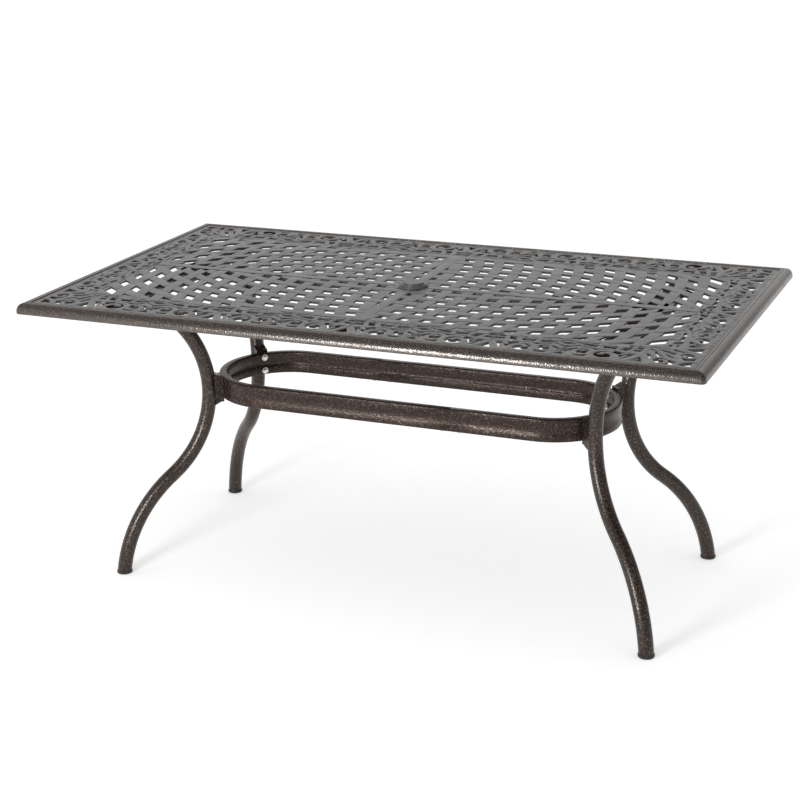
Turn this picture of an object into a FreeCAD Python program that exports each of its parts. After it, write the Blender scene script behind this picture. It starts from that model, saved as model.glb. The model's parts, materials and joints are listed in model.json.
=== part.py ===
import FreeCAD, Part
import math
import os
import Sketcher
from FreeCAD import Vector

# Umbrella table: a cast lattice top in a mitred rim, four bent tube legs round a bolted stretcher
# ring, and a plug in the umbrella hole. Millimetres, +Z up, origin on the floor below the middle
# of the top, +X along the length.

doc = FreeCAD.newDocument("UmbrellaTable")
sheet = doc.addObject("Spreadsheet::Sheet", "Sizes")

SIZES = [
    # whole table
    ("table_length", 1700), ("table_width", 966), ("table_height", 754),
    # rim rails
    ("rim_height", 26), ("rim_width", 28), ("rim_shoulder_radius", 20), ("rim_wall", 2.5),
    ("rim_corner_radius", 12),
    # lattice casting
    ("lattice_drop", 1.5), ("lattice_thick", 5), ("lattice_margin", 10),
    ("weave_half_length", 714), ("weave_half_width", 318), ("strip_width", 28), ("gap_width", 25),
    ("first_strip", 32), ("first_gap", 15), ("row_sag", 340), ("row_fade", 0.36),
    ("column_lean", 44), ("column_fade", 0.031), ("smallest_hole", 60),
    ("scroll_step_long", 172), ("scroll_step_short", 158),
    # braces under the lattice
    ("brace_width", 40), ("brace_depth", 20), ("brace_wall", 2), ("spine_brace_width", 28),
    ("spine_brace_depth", 16),
    # umbrella hole
    ("hub_diameter", 82), ("hub_depth", 18), ("hub_bore", 54), ("sleeve_gap", 0.3),
    ("pole_bore", 42), ("ring_flange", 76), ("ring_flange_thick", 3.5), ("ring_step", 66),
    ("ring_step_thick", 3), ("ring_sleeve", 44), ("cap_seat_bore", 44), ("cap_seat_deep", 14.5),
    ("cap_disc", 52), ("cap_disc_thick", 4), ("cap_stem", 14), ("cap_gap", 0.3), ("cap_wall", 3),
    # stretcher ring
    ("ring_radius", 169), ("ring_end_x", 367), ("ring_thick", 20), ("ring_high", 58),
    ("ring_middle", 470.5), ("ring_wall", 2.5), ("ring_edge", 4), ("ring_seam_x", 158),
    ("insert_length", 90), ("insert_gap", 0.2), ("insert_wall", 3),
    # legs
    ("leg_angle", 43.2), ("tube_diameter", 37), ("tube_wall", 2.5), ("waist_height", 470),
    ("waist_radius", 277), ("shin_radius", 375), ("leg_kick", 250), ("top_lean", 40),
    ("leg_plate_long", 92), ("leg_plate_wide", 62), ("leg_plate_thick", 4),
    # brackets
    ("bracket_reach", 16), ("bracket_wide", 30), ("bracket_high", 70), ("bracket_flare", 7),
    ("bracket_saddle", 7),
    # foot caps
    ("foot_diameter", 40), ("foot_high", 7), ("foot_round", 3), ("foot_plug", 26),
    ("foot_plug_high", 9),
    # fasteners
    ("bolt_diameter", 8), ("bolt_clearance", 0.4), ("head_diameter", 14), ("head_high", 4.4),
    ("washer_diameter", 17), ("washer_thick", 1.6), ("bolt_pitch_ring", 36),
    ("bolt_offset_leg", 32), ("insert_nut_diameter", 13), ("insert_nut_high", 11),
    ("bolt_into_bracket", 12), ("screw_diameter", 6), ("screw_head", 10.5), ("screw_head_high", 3.3),
    ("screw_pitch", 44), ("screw_reach", 9), ("thread_gap", 0.1),
]
for row, (name, number) in enumerate(SIZES, start=1):
    sheet.set("A%d" % row, name)
    sheet.set("B%d" % row, str(number))
    sheet.setAlias("B%d" % row, name)
doc.recompute()


class Size:
    """A length that carries its number and the sheet formula it comes from."""

    def __init__(self, number, text):
        self.number = number
        self.text = text

    def __add__(self, other):
        other = as_size(other)
        return Size(self.number + other.number, "(%s + %s)" % (self.text, other.text))

    def __sub__(self, other):
        other = as_size(other)
        return Size(self.number - other.number, "(%s - %s)" % (self.text, other.text))

    def __mul__(self, other):
        other = as_size(other)
        return Size(self.number * other.number, "(%s * %s)" % (self.text, other.text))

    def __truediv__(self, other):
        other = as_size(other)
        return Size(self.number / other.number, "(%s / %s)" % (self.text, other.text))

    def __neg__(self):
        return Size(-self.number, "(0 - %s)" % self.text)


def as_size(value):
    """Take a Size as it is and turn a plain count into one."""
    if isinstance(value, Size):
        return value
    return Size(value, repr(value))


def size(name):
    """The sheet's size of this name."""
    return Size(float(sheet.get(name)), "Sizes." + name)


def cosine(angle):
    """Cosine of a sheet angle in degrees."""
    return Size(math.cos(math.radians(angle.number)), "cos(%s * 1 deg)" % angle.text)


def sine(angle):
    """Sine of a sheet angle in degrees."""
    return Size(math.sin(math.radians(angle.number)), "sin(%s * 1 deg)" % angle.text)


def root(value):
    """Square root of a Size."""
    return Size(math.sqrt(value.number), "sqrt(%s)" % value.text)


def bind(obj, prop, value):
    """Tie one property of an object to the sheet."""
    obj.setExpression(prop, as_size(value).text)


def place(obj, x=0, y=0, z=0, turn=0):
    """Put an object at a place, turned about +Z in degrees, all tied to the sheet."""
    obj.Placement = FreeCAD.Placement(Vector(0, 0, 0), FreeCAD.Rotation(Vector(0, 0, 1), 0))
    bind(obj, ".Placement.Base.x", x)
    bind(obj, ".Placement.Base.y", y)
    bind(obj, ".Placement.Base.z", z)
    turned = as_size(turn)
    if turned.number != 0 or turned.text != "0":
        obj.Placement.Rotation = FreeCAD.Rotation(Vector(0, 0, 1), 1)
        bind(obj, ".Placement.Rotation.Angle", turned)


# shared places

half_length = size("table_length") / 2
half_width = size("table_width") / 2
lattice_top = size("table_height") - size("lattice_drop")
lattice_under = lattice_top - size("lattice_thick")
lattice_half_length = half_length - size("rim_width")
lattice_half_width = half_width - size("rim_width")
brace_under = lattice_under - size("brace_depth")
leg_plate_under = brace_under - size("leg_plate_thick")
tube_radius = size("tube_diameter") / 2
waist_out = size("ring_radius") + size("bracket_reach") + tube_radius
foot_out = waist_out + size("leg_kick")
elbow_out = waist_out + size("waist_radius") * (Size(1, "1") - cosine(size("top_lean")))
elbow_high = size("waist_height") + size("waist_radius") * sine(size("top_lean"))
leg_top_run = (leg_plate_under - elbow_high) / cosine(size("top_lean"))
leg_top_out = elbow_out + leg_top_run * sine(size("top_lean"))
leg_top_x = size("ring_end_x") + leg_top_out * cosine(size("leg_angle"))
leg_top_y = leg_top_out * sine(size("leg_angle"))
ring_low = size("ring_middle") - size("ring_high") / 2
bolt_hole = size("bolt_diameter") + size("bolt_clearance")

# name, side along X, side along Y
CORNERS = [("front_left", -1, -1), ("front_right", 1, -1), ("back_right", 1, 1), ("back_left", -1, 1)]


def corner_turn(side_x, side_y):
    """Angle of a leg's plane about +Z for one corner."""
    angle = size("leg_angle")
    if side_x > 0:
        return angle * side_y
    return Size(180, "180") - angle * side_y


def place_at_corner(obj, side_x, side_y, z=0):
    """Put an object made in the leg's own plane at one corner."""
    place(obj, size("ring_end_x") * side_x, 0, z, corner_turn(side_x, side_y))


# sketch and feature helpers

def new_body(label):
    body = doc.addObject("PartDesign::Body", label)
    body.Label = label
    return body


def plane_of(body, role):
    for feature in body.Origin.OriginFeatures:
        if feature.Role == role:
            return feature
    raise RuntimeError("no plane " + role)


def new_sketch(body, name, role, offset=None):
    """A sketch on an origin plane of its own body, moved along the plane's normal by offset."""
    sketch = body.newObject("Sketcher::SketchObject", name)
    sketch.AttachmentSupport = (plane_of(body, role), [""])
    sketch.MapMode = "FlatFace"
    if offset is not None:
        sketch.AttachmentOffset = FreeCAD.Placement(Vector(0, 0, offset.number), FreeCAD.Rotation())
        bind(sketch, ".AttachmentOffset.Base.z", offset)
    return sketch


def tie_point(sketch, edge, end, x, y):
    """Hold one point of an edge at a place from the sheet's values."""
    for kind, value in (("DistanceX", x), ("DistanceY", y)):
        number = sketch.addConstraint(Sketcher.Constraint(kind, -1, 1, edge, end, value.number))
        sketch.setExpression("Constraints[%d]" % number, value.text)


def draw(sketch, corners, radii=None, closed=True):
    """An outline through corners; radii gives, by edge number, an arc's radius, positive to bulge
    to the right of the way along."""
    radii = radii or {}
    corners = [(as_size(x), as_size(y)) for x, y in corners]
    spots = [Vector(x.number, y.number, 0) for x, y in corners]
    count = len(corners) if closed else len(corners) - 1
    edges = []
    for i in range(count):
        start, end = spots[i], spots[(i + 1) % len(spots)]
        if i in radii:
            edges.append(sketch.addGeometry(arc_between(start, end, radii[i].number), False))
        else:
            edges.append(sketch.addGeometry(Part.LineSegment(start, end), False))
    for i in range(count):
        radius = radii.get(i)
        start_end = first_end(radius)
        tie_point(sketch, edges[i], start_end, corners[i][0], corners[i][1])
        following = (i + 1) % count
        if closed or following > i:
            sketch.addConstraint(Sketcher.Constraint("Coincident", edges[i], 3 - start_end,
                                                     edges[following], first_end(radii.get(following))))
        else:
            tie_point(sketch, edges[i], 3 - start_end, corners[-1][0], corners[-1][1])
        if radius is not None:
            number = sketch.addConstraint(Sketcher.Constraint("Radius", edges[i], abs(radius.number)))
            text = radius.text if radius.number > 0 else (-radius).text
            sketch.setExpression("Constraints[%d]" % number, text)
    return edges


def first_end(radius):
    """Which end of an edge comes first: an arc that bulges left is stored the other way round."""
    return 2 if radius is not None and radius.number < 0 else 1


def arc_between(start, end, radius):
    """The short arc between two points, bulging right of the way from start to end if radius > 0."""
    chord = end - start
    middle = (start + end) * 0.5
    rise = math.sqrt(radius * radius - chord.Length * chord.Length / 4)
    left = Vector(-chord.y, chord.x, 0).normalize()
    centre = middle + left * (rise if radius > 0 else -rise)
    first = math.atan2(start.y - centre.y, start.x - centre.x)
    last = math.atan2(end.y - centre.y, end.x - centre.x)
    circle = Part.Circle(centre, Vector(0, 0, 1), abs(radius))
    if radius > 0:
        return Part.ArcOfCircle(circle, first, last)
    return Part.ArcOfCircle(circle, last, first)


def draw_box(sketch, x_low, x_high, y_low, y_high):
    draw(sketch, [(x_low, y_low), (x_high, y_low), (x_high, y_high), (x_low, y_high)])


def draw_circle(sketch, x, y, radius):
    x, y, radius = as_size(x), as_size(y), as_size(radius)
    edge = sketch.addGeometry(Part.Circle(Vector(x.number, y.number, 0), Vector(0, 0, 1), radius.number),
                              False)
    tie_point(sketch, edge, 3, x, y)
    number = sketch.addConstraint(Sketcher.Constraint("Radius", edge, radius.number))
    sketch.setExpression("Constraints[%d]" % number, radius.text)


def pad(body, sketch, length, both_ways=False):
    feature = body.newObject("PartDesign::Pad", sketch.Name + "Pad")
    feature.Profile = sketch
    feature.Length = length.number
    bind(feature, "Length", length)
    feature.Midplane = both_ways
    return feature


def pocket(body, sketch, length, both_ways=False, reverse=False):
    feature = body.newObject("PartDesign::Pocket", sketch.Name + "Pocket")
    feature.Profile = sketch
    feature.Length = length.number
    bind(feature, "Length", length)
    feature.Midplane = both_ways
    feature.Reversed = reverse
    return feature


def turn_solid(body, sketch):
    """Revolve a half section about the body's Z axis."""
    feature = body.newObject("PartDesign::Revolution", sketch.Name + "Turned")
    feature.Profile = sketch
    feature.ReferenceAxis = (sketch, ["V_Axis"])
    feature.Angle = 360
    return feature


def box(label, wide, deep, high):
    solid = doc.addObject("Part::Box", label)
    solid.Label = label
    for prop, value in (("Length", wide), ("Width", deep), ("Height", high)):
        bind(solid, prop, value)
    return solid


def cylinder(label, radius, high):
    solid = doc.addObject("Part::Cylinder", label)
    solid.Label = label
    bind(solid, "Radius", radius)
    bind(solid, "Height", high)
    return solid


def cut(label, base, tool):
    result = doc.addObject("Part::Cut", label)
    result.Label = label
    result.Base = base
    result.Tool = tool
    return result


def fuse(label, shapes):
    result = doc.addObject("Part::MultiFuse", label)
    result.Label = label
    result.Shapes = shapes
    return result


def group(label, shapes):
    """Separate solids kept together under one name."""
    result = doc.addObject("Part::Compound", label)
    result.Label = label
    result.Links = shapes
    return result


def lay_along_x(obj, x, y, z):
    """Put a cylinder with its axis along +X."""
    obj.Placement = FreeCAD.Placement(Vector(0, 0, 0), FreeCAD.Rotation(Vector(0, 1, 0), 90))
    bind(obj, ".Placement.Base.x", x)
    bind(obj, ".Placement.Base.y", y)
    bind(obj, ".Placement.Base.z", z)


parts = []


def keep(obj):
    parts.append(obj)
    return obj


# rim: four hollow rails with a round shoulder, mitred at the corners

def rim_rail(label, half_run, half_across, turn):
    """One rail, drawn with its outer face towards -Y and turned to its side of the table."""
    body = new_body(label)
    wide, high, shoulder = size("rim_width"), size("rim_height"), size("rim_shoulder_radius")
    wall = size("rim_wall")
    section = new_sketch(body, label + "Section", "YZ_Plane")
    outer = -half_across
    inner = outer + wide
    draw(section, [(outer, 0), (inner, 0), (inner, high), (outer + shoulder, high),
                   (outer, high - shoulder)], {3: shoulder})
    draw(section, [(outer + wall, wall), (inner - wall, wall), (inner - wall, high - wall),
                   (outer + shoulder, high - wall), (outer + wall, high - shoulder)],
         {3: shoulder - wall})
    pad(body, section, half_run * 2, both_ways=True)
    corner = size("rim_corner_radius")
    arc_side = corner * (Size(1, "1") - cosine(Size(45, "45")))
    spare = size("rim_width")
    for end in (-1, 1):
        cutter = new_sketch(body, label + ("Left" if end < 0 else "Right"), "XY_Plane")
        tip = half_run * end
        beyond = (half_run + spare) * end
        points = [(tip - wide * (2 * end), outer + wide * 2), (tip - arc_side * end, outer + arc_side),
                  (tip - corner * end, outer), (tip - corner * end, outer - spare),
                  (beyond, outer - spare), (beyond, outer + wide * 2)]
        if end > 0:
            draw(cutter, points, {1: -corner})
        else:
            draw(cutter, points, {1: corner})
        pocket(body, cutter, high * 3, both_ways=True)
    place(body, 0, 0, size("table_height") - high, turn)
    return keep(body)


rim_rail("rim_rail_front", half_length, half_width, 0)
rim_rail("rim_rail_right", half_width, half_length, 90)
rim_rail("rim_rail_back", half_length, half_width, 180)
rim_rail("rim_rail_left", half_width, half_length, 270)


# lattice casting: woven field between two spines, and a scroll border round it

def number_of(name):
    return size(name).number


def row_height(start, x):
    """Height above the long spine of a row that starts at the short spine."""
    share = abs(x) / number_of("weave_half_length")
    return start - (number_of("row_sag") - number_of("row_fade") * start) * share ** 3


def column_place(start, y):
    """Distance from the short spine of a column that starts at the long spine."""
    share = abs(y) / number_of("weave_half_width")
    return start - (number_of("column_lean") - number_of("column_fade") * start) * share ** 3


def crossing(column, row):
    """Where the edge of a column crosses the edge of a row."""
    x, y = column, row
    for _ in range(12):
        y = row_height(row, x)
        x = column_place(column, y)
    return (x, y)


def clip(points, axis, limit, above):
    """Keep the side of a convex outline that lies above or below a limit."""
    kept = []
    for i, point in enumerate(points):
        before = points[i - 1]
        inside = point[axis] >= limit if above else point[axis] <= limit
        was_inside = before[axis] >= limit if above else before[axis] <= limit
        if inside != was_inside:
            share = (limit - before[axis]) / (point[axis] - before[axis])
            kept.append(tuple(before[k] + share * (point[k] - before[k]) for k in (0, 1)))
        if inside:
            kept.append(point)
    return kept


def area_of(points):
    return 0.5 * sum(points[i - 1][0] * points[i][1] - points[i][0] * points[i - 1][1]
                     for i in range(len(points)))


def tidy_points(points):
    """Drop points that lie within half a millimetre of the one before."""
    kept = []
    for i, point in enumerate(points):
        before = points[i - 1]
        if math.hypot(point[0] - before[0], point[1] - before[1]) > 0.5:
            kept.append(point)
    return kept


def weave_holes():
    """The gaps of one quarter of the woven field, as corner lists."""
    strip, gap = number_of("strip_width"), number_of("gap_width")
    spine = strip / 2
    long_edge, wide_edge = number_of("weave_half_length"), number_of("weave_half_width")
    columns = [(spine, spine + number_of("first_gap"))]
    left = columns[0][1] + number_of("first_strip")
    while left < long_edge + number_of("column_lean"):
        columns.append((left, left + gap))
        left += gap + strip
    rows = []
    low = spine
    while row_height(low, long_edge) < wide_edge:
        rows.append((low, low + gap))
        low += gap + strip
    holes = []
    for left, right in columns:
        for low, high in rows:
            points = [crossing(left, low), crossing(right, low), crossing(right, high),
                      crossing(left, high)]
            for axis, limit, above in ((0, spine, True), (0, long_edge, False), (1, spine, True),
                                       (1, wide_edge, False)):
                if points:
                    points = clip(points, axis, limit, above)
            points = tidy_points(points)
            if len(points) > 2 and abs(area_of(points)) > number_of("smallest_hole"):
                holes.append(points)
    return holes


# openings of the scroll border, as shares of a half step along the edge and of the border's depth
# from the rim; the half step runs from a stem to the cusp beside it, and the next one is its mirror
SCROLL_HOLES = [
    [(0.12, 0.44), (0.18, 0.42), (0.21, 0.19), (0.15, 0.23)],
    [(0.29, 0.36), (0.36, 0.44), (0.48, 0.47), (0.56, 0.38), (0.56, 0.17), (0.47, 0.09), (0.40, 0.12),
     (0.31, 0.22)],
    [(0.63, 0.45), (0.68, 0.52), (0.80, 0.48), (0.84, 0.34), (0.80, 0.24), (0.69, 0.24), (0.63, 0.33)],
    [(0.65, 0.07), (0.78, 0.07), (0.71, 0.15)],
    [(0.18, 0.80), (0.25, 0.82), (0.33, 0.62), (0.27, 0.61)],
    [(0.37, 0.85), (0.46, 0.87), (0.56, 0.77), (0.54, 0.69), (0.42, 0.71)],
    [(0.64, 0.70), (0.62, 0.80), (0.80, 0.93), (0.88, 0.88), (0.78, 0.77)],
    [(0.05, 0.93), (0.10, 0.94), (0.12, 0.86), (0.06, 0.86)],
    [(0.05, 0.79), (0.13, 0.70), (0.05, 0.68)],
]
STEM_HOLE = [(-0.09, 0.07), (0.09, 0.07), (0.01, 0.34), (-0.01, 0.34)]
CUSP_HOLES = [
    [(0.88, 0.66), (1.0, 0.50), (1.12, 0.66), (1.0, 0.82)],
    [(0.93, 0.07), (1.07, 0.07), (1.0, 0.20)],
    [(0.95, 1.03), (1.05, 1.03), (1.0, 0.92)],
]
# openings of one corner block, in shares of its length and its depth from the rim's corner: the
# first lie on its diagonal, the others come in pairs, one each side of it
CORNER_MIDDLE_HOLES = [
    [(0.06, 0.06), (0.28, 0.06), (0.28, 0.14), (0.14, 0.28), (0.06, 0.28)],
    [(0.36, 0.36), (0.52, 0.40), (0.66, 0.66), (0.40, 0.52)],
    [(0.76, 0.76), (0.90, 0.80), (0.96, 0.96), (0.80, 0.90)],
]
CORNER_SIDE_HOLES = [
    [(0.36, 0.07), (0.46, 0.07), (0.42, 0.20)],
    [(0.52, 0.14), (0.66, 0.10), (0.74, 0.24), (0.62, 0.34), (0.50, 0.28)],
    [(0.60, 0.44), (0.70, 0.42), (0.84, 0.64), (0.74, 0.62)],
    [(0.82, 0.36), (0.92, 0.34), (0.94, 0.52), (0.86, 0.54)],
]


def border_holes(step, depth, run):
    """Openings along one edge, as distances from its middle and from the rim."""
    holes = []
    half_steps = int(round(run / step))
    for side in (-1, 1):
        for n in range(half_steps):
            base, way = (n, 1) if n % 2 == 0 else (n + 1, -1)
            for shape in SCROLL_HOLES:
                holes.append([(side * step * (base + way * u), depth * v) for u, v in shape])
            if n % 2 == 0:
                for shape in CUSP_HOLES:
                    holes.append([(side * step * (base + u), depth * v) for u, v in shape])
            elif n + 1 < half_steps:
                holes.append([(side * step * (base + u), depth * v) for u, v in STEM_HOLE])
    holes.append([(step * u, depth * v) for u, v in STEM_HOLE])
    return holes


def lattice_outlines():
    """Every opening of the casting, as corner lists on the table's top."""
    limit_x = lattice_half_length.number - number_of("lattice_margin")
    limit_y = lattice_half_width.number - number_of("lattice_margin")
    strip = number_of("strip_width")
    holes = []
    for side_x in (-1, 1):
        for side_y in (-1, 1):
            holes += [[(side_x * x, side_y * y) for x, y in hole] for hole in weave_holes()]
    depth_long = limit_y - number_of("weave_half_width") - strip / 2
    depth_short = limit_x - number_of("weave_half_length") - strip / 4
    long_step, short_step = number_of("scroll_step_long"), number_of("scroll_step_short")
    long_run = long_step * int(limit_x / long_step)
    short_run = short_step * int(limit_y / short_step)
    for side in (-1, 1):
        for hole in border_holes(long_step, depth_long, long_run):
            holes.append([(u, side * (limit_y - v)) for u, v in hole])
        for hole in border_holes(short_step, depth_short, short_run):
            holes.append([(side * (limit_x - v), u) for u, v in hole])
    block_x, block_y = limit_x - long_run, limit_y - short_run
    for side_x in (-1, 1):
        for side_y in (-1, 1):
            turned_over = [[(v, u) for u, v in shape] for shape in CORNER_SIDE_HOLES]
            for shape in CORNER_MIDDLE_HOLES + CORNER_SIDE_HOLES + turned_over:
                holes.append([(side_x * (limit_x - block_x * u), side_y * (limit_y - block_y * v))
                              for u, v in shape])
    return holes


def closed_wire(points, z):
    corners = [Vector(x, y, z) for x, y in points]
    return Part.makePolygon(corners + [corners[0]])


def lattice_casting():
    """The top casting, a plate cut through by its openings and by the umbrella hole."""
    x, y = lattice_half_length.number, lattice_half_width.number
    z = lattice_under.number
    outer = closed_wire([(-x, -y), (x, -y), (x, y), (-x, y)], z)
    circle = Part.Wire([Part.makeCircle(number_of("hub_bore") / 2, Vector(0, 0, z))])
    clear = number_of("hub_diameter") / 2
    wires = [outer, circle]
    for points in lattice_outlines():
        nearest = min(math.hypot(px, py) for px, py in points)
        if nearest > clear:
            wires.append(closed_wire(points, z))
    face = Part.makeFace(wires, "Part::FaceMakerBullseye")
    feature = doc.addObject("Part::Feature", "lattice_top")
    feature.Label = "lattice_top"
    feature.Shape = face.extrude(Vector(0, 0, number_of("lattice_thick")))
    feature.Placement = FreeCAD.Placement()
    return keep(feature)


lattice_casting()


# braces: hollow tubes welded under the lattice

def brace(label, long, wide, deep, x, y, along_x, notch_holes=None):
    """A rectangular tube that starts at x, y and hangs from the lattice."""
    wall = size("brace_wall")
    run_x, run_y = (long, wide) if along_x else (wide, long)
    outer = box(label + "Outer", run_x, run_y, deep)
    place(outer, 0, 0, 0)
    inner_x = long if along_x else wide - wall * 2
    inner_y = wide - wall * 2 if along_x else long
    inner = box(label + "Inner", inner_x, inner_y, deep - wall * 2)
    place(inner, 0 if along_x else wall, wall if along_x else 0, wall)
    tool = inner
    if notch_holes:
        tool = fuse(label + "Openings", [inner] + notch_holes)
    tube = cut(label, outer, tool)
    place(tube, x, y, lattice_under - deep)
    return keep(tube)


cross_run = lattice_half_width * 2
for side_name, side in (("left", -1), ("right", 1)):
    low_x = leg_top_x * side - size("brace_width") / 2
    drillings = []
    for corner_side in (-1, 1):
        for step in (-1, 1):
            hole = cylinder("CrossBrace%sHole%d%d" % (side_name, corner_side, step), bolt_hole / 2,
                            size("brace_wall") * 3)
            place(hole, size("brace_width") / 2,
                  lattice_half_width + leg_top_y * corner_side + size("bolt_offset_leg") * step,
                  -size("brace_wall"))
            drillings.append(hole)
    brace("cross_brace_" + side_name, cross_run, size("brace_width"), size("brace_depth"), low_x,
          -lattice_half_width, False, drillings)

hub_radius = size("hub_diameter") / 2
spine_run = leg_top_x - size("brace_width") / 2 - hub_radius
spine_y = -(size("spine_brace_width") / 2)
brace("spine_brace_right", spine_run, size("spine_brace_width"), size("spine_brace_depth"), hub_radius,
      spine_y, True)
brace("spine_brace_left", spine_run, size("spine_brace_width"), size("spine_brace_depth"),
      -hub_radius - spine_run, spine_y, True)
middle_run = lattice_half_width - hub_radius
brace("middle_brace_back", middle_run, size("spine_brace_width"), size("spine_brace_depth"), spine_y,
      hub_radius, False)
brace("middle_brace_front", middle_run, size("spine_brace_width"), size("spine_brace_depth"), spine_y,
      -lattice_half_width, False)


# umbrella hole: hub under the lattice, plastic ring in it, cap in the ring

def turned(label, corners):
    """A round piece about +Z from its half section."""
    body = new_body(label)
    section = new_sketch(body, label + "Section", "XZ_Plane")
    draw(section, corners)
    turn_solid(body, section)
    return keep(body)


hub_bore = size("hub_bore") / 2
hub = turned("umbrella_hub", [(hub_bore, 0), (hub_radius, 0), (hub_radius, size("hub_depth")),
                              (hub_bore, size("hub_depth"))])
place(hub, 0, 0, lattice_under - size("hub_depth"))

pole = size("pole_bore") / 2
sleeve = hub_bore - size("sleeve_gap")
flange, flange_top = size("ring_flange") / 2, size("ring_flange_thick")
step_radius, step_top = size("ring_step") / 2, size("ring_flange_thick") + size("ring_step_thick")
seat = size("cap_seat_bore") / 2
ledge = step_top - size("cap_seat_deep")
umbrella_ring = turned("umbrella_ring", [
    (pole, -size("ring_sleeve")), (sleeve, -size("ring_sleeve")), (sleeve, 0), (flange, 0),
    (flange, flange_top), (step_radius, flange_top), (step_radius, step_top), (seat, step_top),
    (seat, ledge), (pole, ledge)])
place(umbrella_ring, 0, 0, lattice_top)

cap_radius = size("cap_disc") / 2
stem = seat - size("cap_gap")
umbrella_cap = turned("umbrella_cap", [
    (0, 0), (stem - size("cap_wall"), 0), (stem - size("cap_wall"), -size("cap_stem")),
    (stem, -size("cap_stem")), (stem, 0), (cap_radius, 0), (cap_radius, size("cap_disc_thick")),
    (0, size("cap_disc_thick"))])
place(umbrella_cap, 0, 0, lattice_top + step_top)


# stretcher ring: two alike halves of rectangular tube, butted on inner sleeves

def half_band(sketch, outer, inner, seam, far):
    """Outline of half the ring between its seams, seen from above."""
    centre = size("ring_end_x")
    edges = [(seam, -outer), (centre, -outer), (centre + outer, 0), (centre, outer), (-far, outer),
             (-far, inner), (centre, inner), (centre + inner, 0), (centre, -inner), (seam, -inner)]
    draw(sketch, edges, {1: outer, 2: outer, 6: -inner, 7: -inner})


def ring_half(label, turn):
    body = new_body(label)
    outer = size("ring_radius")
    inner = outer - size("ring_thick")
    wall, seam = size("ring_wall"), size("ring_seam_x")
    band = new_sketch(body, label + "Band", "XY_Plane")
    half_band(band, outer, inner, seam, seam)
    block = pad(body, band, size("ring_high"))
    doc.recompute()
    edges = long_edges(block.Shape, outer.number, inner.number)
    rounded = body.newObject("PartDesign::Fillet", label + "Rounded")
    rounded.Base = (block, edges)
    rounded.Radius = size("ring_edge").number
    bind(rounded, "Radius", size("ring_edge"))
    body.Tip = rounded
    hollow = new_sketch(body, label + "Hollow", "XY_Plane", size("ring_high") - wall)
    half_band(hollow, outer - wall, inner + wall, seam - wall, seam + wall)
    pocket(body, hollow, size("ring_high") - wall * 2)
    drill_ring(body, label)
    drill_sleeve_screws(body, label)
    place(body, 0, 0, ring_low, turn)
    return keep(body)


def long_edges(shape, outer, inner):
    """Names of the edges that run round the ring, top and bottom."""
    names = []
    for number, edge in enumerate(shape.Edges, start=1):
        middle = edge.valueAt((edge.FirstParameter + edge.LastParameter) / 2)
        level = abs(edge.Vertexes[0].Z - edge.Vertexes[-1].Z) < 0.01
        across = abs(edge.Vertexes[0].X - edge.Vertexes[-1].X) < 0.01
        straight_across = across and abs(abs(middle.y) - (outer + inner) / 2) < 0.01
        if level and not straight_across:
            names.append("Edge%d" % number)
    return names


def drill_ring(body, label):
    """Bolt holes through the ring where its two brackets meet it."""
    for name, side in (("Front", -1), ("Back", 1)):
        holes = new_sketch(body, label + "Bolts" + name, "YZ_Plane")
        for step in (-1, 1):
            draw_circle(holes, 0, size("ring_high") / 2 + size("bolt_pitch_ring") * (step * 0.5),
                        bolt_hole / 2)
        doc.recompute()
        turn_about_end(holes, side)
        pocket(body, holes, size("ring_radius") * 2, reverse=True)


def turn_about_end(sketch, side):
    """Stand a sketch upright at the ring's end centre, facing along a leg's plane."""
    angle = size("leg_angle") * side
    sketch.MapMode = "Deactivated"
    turned_plane = FreeCAD.Rotation(Vector(0, 0, 1), angle.number)
    upright = FreeCAD.Rotation(Vector(0, 1, 0), Vector(0, 0, 1), Vector(1, 0, 0), "ZXY")
    sketch.Placement = FreeCAD.Placement(Vector(0, 0, 0), turned_plane.multiply(upright))
    bind(sketch, ".Placement.Base.x", size("ring_end_x"))


def drill_sleeve_screws(body, label):
    """Screw holes up through the ring's floor, one each side of this half's seams."""
    seam, pitch = size("ring_seam_x"), size("screw_pitch") / 2
    line = size("ring_radius") - size("ring_thick") / 2
    holes = new_sketch(body, label + "Screws", "XY_Plane")
    radius = (size("screw_diameter") + size("bolt_clearance")) / 2
    draw_circle(holes, seam + pitch, -line, radius)
    draw_circle(holes, -seam + pitch, line, radius)
    pocket(body, holes, size("ring_wall") * 2, reverse=True)


ring_half("ring_half_right", 0)
ring_half("ring_half_left", 180)


def ring_insert(label, side):
    """The sleeve inside one butt seam of the ring."""
    gap, wall = size("insert_gap"), size("insert_wall")
    deep = size("ring_thick") - size("ring_wall") * 2 - gap * 2
    high = size("ring_high") - size("ring_wall") * 2 - gap
    long = size("insert_length")
    outer = box(label + "Outer", long, deep, high)
    inner = box(label + "Inner", long, deep - wall * 2, high - wall * 2)
    place(inner, 0, wall, wall)
    tools = [inner]
    for step in (-1, 1):
        tapped = cylinder("%sTapped%d" % (label, step), size("screw_diameter") / 2, wall * 3)
        place(tapped, long / 2 + size("screw_pitch") * (step * 0.5), deep / 2, -wall)
        tools.append(tapped)
    sleeve_piece = cut(label, outer, fuse(label + "Openings", tools))
    line = (size("ring_radius") - size("ring_thick") / 2) * side
    place(sleeve_piece, size("ring_seam_x") * -side - long / 2, line - deep / 2,
          ring_low + size("ring_wall"))
    return keep(sleeve_piece)


ring_insert("ring_sleeve_front", -1)
ring_insert("ring_sleeve_back", 1)


# legs: a round tube bent in one upright plane through the ring's end centre

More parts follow.
